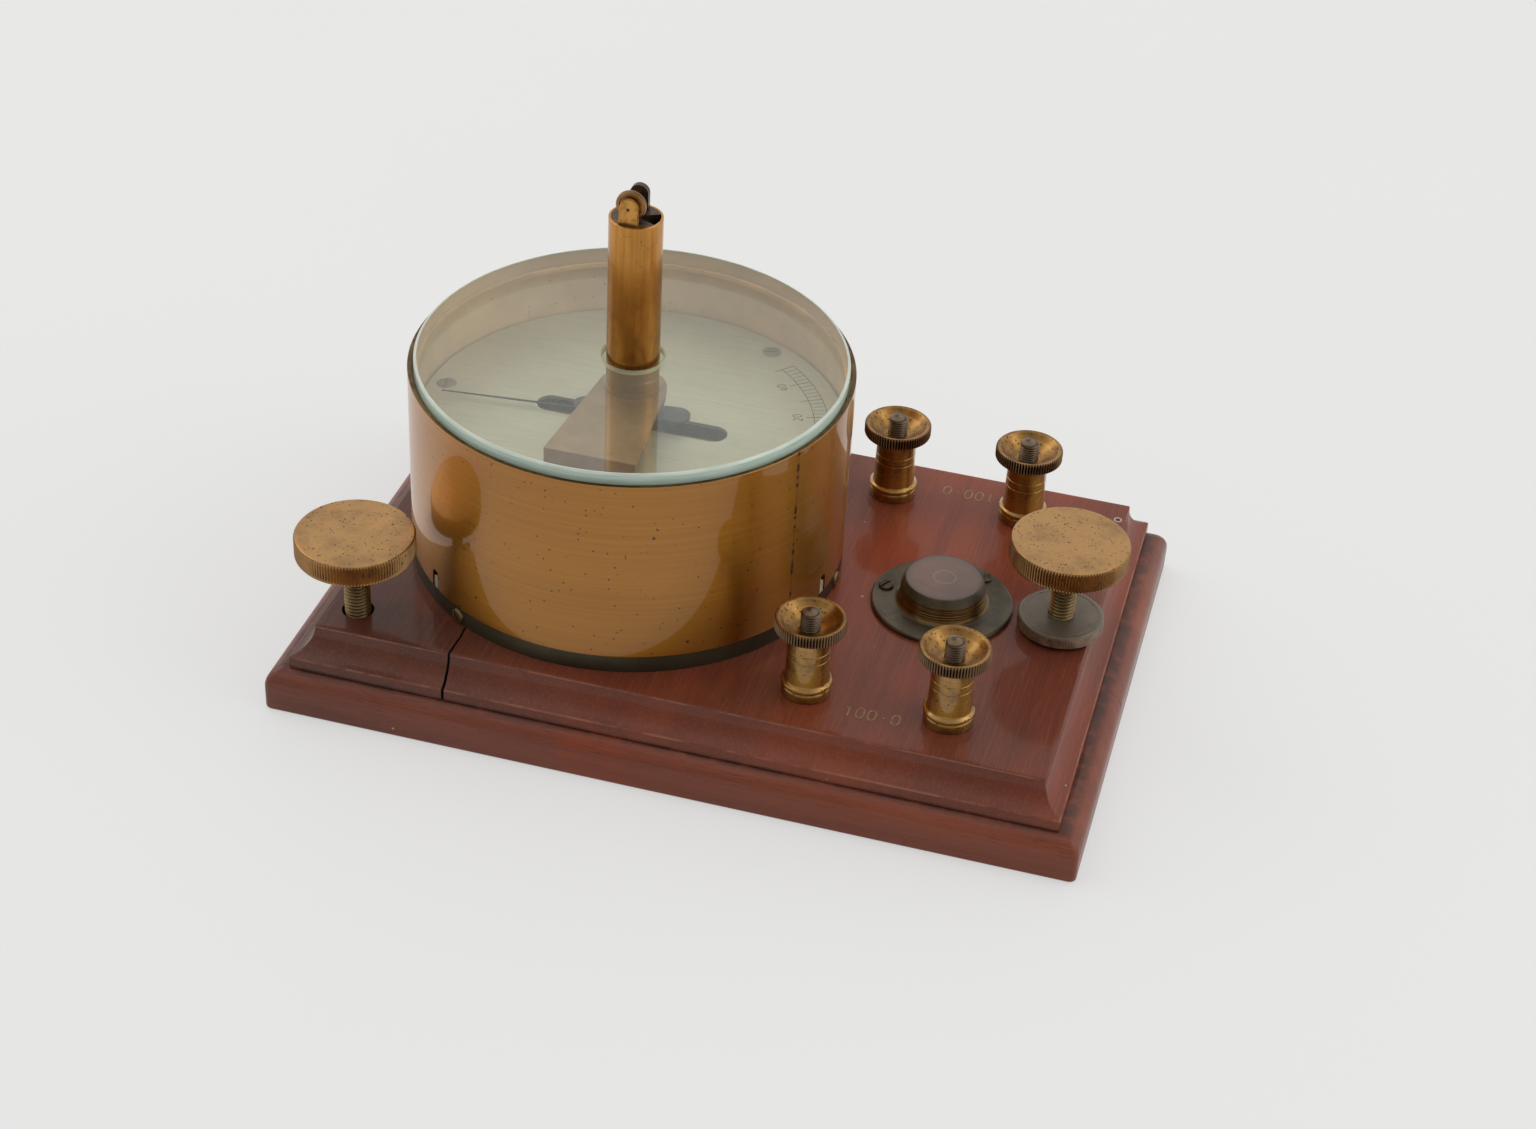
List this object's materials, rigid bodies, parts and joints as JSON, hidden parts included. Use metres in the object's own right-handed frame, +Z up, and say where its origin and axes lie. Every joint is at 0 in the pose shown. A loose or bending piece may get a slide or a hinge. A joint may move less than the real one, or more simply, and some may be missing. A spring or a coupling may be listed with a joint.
{
  "type": "differential galvanometer",
  "caption": "Astatic needle galvanometer in a glass-topped brass drum, with binding posts, levelling screws and a circular level on a moulded wooden base.",
  "frame": {"origin": "middle of the wooden base's underside", "axes": "+X along the long side of the base from the drum towards the terminals and the level, +Y from front to back, +Z up along the suspension tube"},
  "size_m": [0.2348, 0.1562, 0.1435],
  "materials": {
    "mahogany": "French-polished reddish-brown mahogany, worn at the edges, dust in the hollows",
    "lacquered_brass": "brushed brass under orange lacquer, with small dark specks",
    "turned_brass": "turned and lacquered brass, spotted with age",
    "aged_brass": "brass darkened to brown with age",
    "olive_bronze": "bronzed brass, dull olive brown",
    "bracket_brass": "plain brass, satin, slightly dull",
    "silvered_brass": "silvered brass, fine straight brushing, tarnished to a warm grey",
    "plate_glass": "clear plate glass with a pale green edge",
    "level_window": "clear glass of the circular level",
    "level_spirit": "spirit of the level, aged to a brownish pink",
    "blued_steel": "tempered magnet steel, dull blue grey",
    "black_pointer": "fine blackened metal pointer",
    "iron_screw": "dark steel, slightly rusty",
    "ebonite": "black polished hard rubber",
    "boxwood": "pale close-grained wood, varnished",
    "silk_covered_wire": "copper wire covered in green silk",
    "silk": "single raw silk fibre"
  },
  "bodies": {
    "root": {"plinth": "mahogany", "upper_board": "mahogany", "base_wood_screws": "iron_screw", "base_ring": "olive_bronze", "base_ring_screws": "turned_brass", "case_key_screws": "turned_brass", "dial_plate": "silvered_brass", "dial_screws": "silvered_brass", "dial_pillars": "turned_brass", "coil_base": "ebonite", "coil_base_screws": "turned_brass", "front_bobbin": "boxwood", "back_bobbin": "boxwood", "front_winding": "silk_covered_wire", "back_winding": "silk_covered_wire", "coil_leads": "silk_covered_wire", "tube_bracket": "bracket_brass", "bracket_screws": "bracket_brass", "suspension_tube": "lacquered_brass", "tube_ring_nut": "bracket_brass", "terminal_posts": "turned_brass", "terminal_studs": "aged_brass", "terminal_back_nuts": "aged_brass", "levelling_bushes": "aged_brass", "level_cup": "olive_bronze", "level_cap": "olive_bronze", "level_glass": "level_window", "level_spirit": "level_spirit", "level_flange_screws": "iron_screw"},
    "case": {"drum_case": "lacquered_brass", "glass_ledge": "turned_brass", "glass_cover": "plate_glass"},
    "levelling_foot_front_left": {"levelling_foot_front_left": "iron_screw"},
    "levelling_screw_front_left": {"levelling_screw_front_left": "aged_brass", "levelling_head_front_left": "turned_brass"},
    "levelling_foot_back_left": {"levelling_foot_back_left": "iron_screw"},
    "levelling_screw_back_left": {"levelling_screw_back_left": "aged_brass", "levelling_head_back_left": "turned_brass"},
    "levelling_foot_right": {"levelling_foot_right": "iron_screw"},
    "levelling_screw_right": {"levelling_screw_right": "aged_brass", "levelling_head_right": "turned_brass"},
    "lock_washer": {"lock_washer": "aged_brass"},
    "lock_nut": {"lock_nut": "olive_bronze"},
    "clamp_washer_front_left": {"clamp_washer_front_left": "turned_brass"},
    "thumb_nut_front_left": {"thumb_nut_front_left": "turned_brass"},
    "clamp_washer_front_right": {"clamp_washer_front_right": "turned_brass"},
    "thumb_nut_front_right": {"thumb_nut_front_right": "turned_brass"},
    "clamp_washer_back_left": {"clamp_washer_back_left": "turned_brass"},
    "thumb_nut_back_left": {"thumb_nut_back_left": "turned_brass"},
    "clamp_washer_back_right": {"clamp_washer_back_right": "turned_brass"},
    "thumb_nut_back_right": {"thumb_nut_back_right": "turned_brass"},
    "torsion_head": {"torsion_head": "aged_brass"},
    "windlass": {"windlass_axle": "blued_steel", "windlass_wheel": "aged_brass"},
    "suspension": {"silk_fibre": "silk", "fibre_barrel": "turned_brass"},
    "needle_system": {"needle_staff": "blued_steel", "upper_needle": "blued_steel", "lower_needle": "blued_steel", "pointer": "black_pointer"}
  },
  "joints": [
    {"name": "case_lift", "type": "slide", "parent": "root", "child": "case", "axis": [0, 0, 1], "range_m": [0, 0.125]},
    {"name": "levelling_feed_front_left", "type": "slide", "parent": "root", "child": "levelling_foot_front_left", "axis": [0, 0, 1], "range_m": [-0.0116, 0.0024]},
    {"name": "levelling_turn_front_left", "type": "hinge", "parent": "levelling_foot_front_left", "child": "levelling_screw_front_left", "pos_m": [-0.09621, -0.05741, 0.03], "axis": [0, 0, 1], "range_deg": [-3600, 720]},
    {"name": "levelling_feed_back_left", "type": "slide", "parent": "root", "child": "levelling_foot_back_left", "axis": [0, 0, 1], "range_m": [-0.0116, 0.0024]},
    {"name": "levelling_turn_back_left", "type": "hinge", "parent": "levelling_foot_back_left", "child": "levelling_screw_back_left", "pos_m": [-0.09621, 0.05741, 0.03], "axis": [0, 0, 1], "range_deg": [-3600, 720]},
    {"name": "levelling_feed_right", "type": "slide", "parent": "root", "child": "levelling_foot_right", "axis": [0, 0, 1], "range_m": [-0.0116, 0.0024]},
    {"name": "levelling_turn_right", "type": "hinge", "parent": "levelling_foot_right", "child": "levelling_screw_right", "pos_m": [0.0957, 0, 0.03], "axis": [0, 0, 1], "range_deg": [-3600, 720]},
    {"name": "lock_nut_feed", "type": "slide", "parent": "root", "child": "lock_washer", "axis": [0, 0, 1], "range_m": [0, 0.0058]},
    {"name": "lock_nut_turn", "type": "hinge", "parent": "lock_washer", "child": "lock_nut", "pos_m": [0.0957, 0, 0.029], "axis": [0, 0, 1], "range_deg": [0, 1800]},
    {"name": "terminal_feed_front_left", "type": "slide", "parent": "root", "child": "clamp_washer_front_left", "axis": [0, 0, 1], "range_m": [0, 0.004]},
    {"name": "terminal_turn_front_left", "type": "hinge", "parent": "clamp_washer_front_left", "child": "thumb_nut_front_left", "pos_m": [0.034, -0.0517, 0.046], "axis": [0, 0, 1], "range_deg": [0, 1800]},
    {"name": "terminal_feed_front_right", "type": "slide", "parent": "root", "child": "clamp_washer_front_right", "axis": [0, 0, 1], "range_m": [0, 0.004]},
    {"name": "terminal_turn_front_right", "type": "hinge", "parent": "clamp_washer_front_right", "child": "thumb_nut_front_right", "pos_m": [0.0743, -0.0517, 0.046], "axis": [0, 0, 1], "range_deg": [0, 1800]},
    {"name": "terminal_feed_back_left", "type": "slide", "parent": "root", "child": "clamp_washer_back_left", "axis": [0, 0, 1], "range_m": [0, 0.004]},
    {"name": "terminal_turn_back_left", "type": "hinge", "parent": "clamp_washer_back_left", "child": "thumb_nut_back_left", "pos_m": [0.034, 0.0517, 0.046], "axis": [0, 0, 1], "range_deg": [0, 1800]},
    {"name": "terminal_feed_back_right", "type": "slide", "parent": "root", "child": "clamp_washer_back_right", "axis": [0, 0, 1], "range_m": [0, 0.004]},
    {"name": "terminal_turn_back_right", "type": "hinge", "parent": "clamp_washer_back_right", "child": "thumb_nut_back_right", "pos_m": [0.0743, 0.0517, 0.046], "axis": [0, 0, 1], "range_deg": [0, 1800]},
    {"name": "torsion_turn", "type": "hinge", "parent": "root", "child": "torsion_head", "pos_m": [-0.034, 0, 0.1346], "axis": [0, 0, 1], "continuous": true},
    {"name": "windlass_turn", "type": "hinge", "parent": "torsion_head", "child": "windlass", "pos_m": [-0.03457, 0, 0.13925], "axis": [0, -1, 0], "range_deg": [-90, 270]},
    {"name": "fibre_lift", "type": "slide", "parent": "root", "child": "suspension", "axis": [0, 0, 1], "range_m": [-0.00086, 0.00259], "deforming": ["silk_fibre"]},
    {"name": "needle_swing", "type": "hinge", "parent": "suspension", "child": "needle_system", "pos_m": [-0.034, 0, 0.0717], "axis": [0, 0, 1], "range_deg": [-252, 60]}
  ],
  "couplings": [
    {"joint": "levelling_feed_front_left", "follows": "levelling_turn_front_left", "m_per_rad": 0.00018382},
    {"joint": "levelling_feed_back_left", "follows": "levelling_turn_back_left", "m_per_rad": 0.00018382},
    {"joint": "levelling_feed_right", "follows": "levelling_turn_right", "m_per_rad": 0.00018382},
    {"joint": "lock_nut_feed", "follows": "lock_nut_turn", "m_per_rad": 0.00018382},
    {"joint": "terminal_feed_front_left", "follows": "terminal_turn_front_left", "m_per_rad": 0.00012637},
    {"joint": "terminal_feed_front_right", "follows": "terminal_turn_front_right", "m_per_rad": 0.00012637},
    {"joint": "terminal_feed_back_left", "follows": "terminal_turn_back_left", "m_per_rad": 0.00012637},
    {"joint": "terminal_feed_back_right", "follows": "terminal_turn_back_right", "m_per_rad": 0.00012637},
    {"joint": "windlass_turn", "follows": "fibre_lift", "rad_per_m": 1818.2}
  ]
}
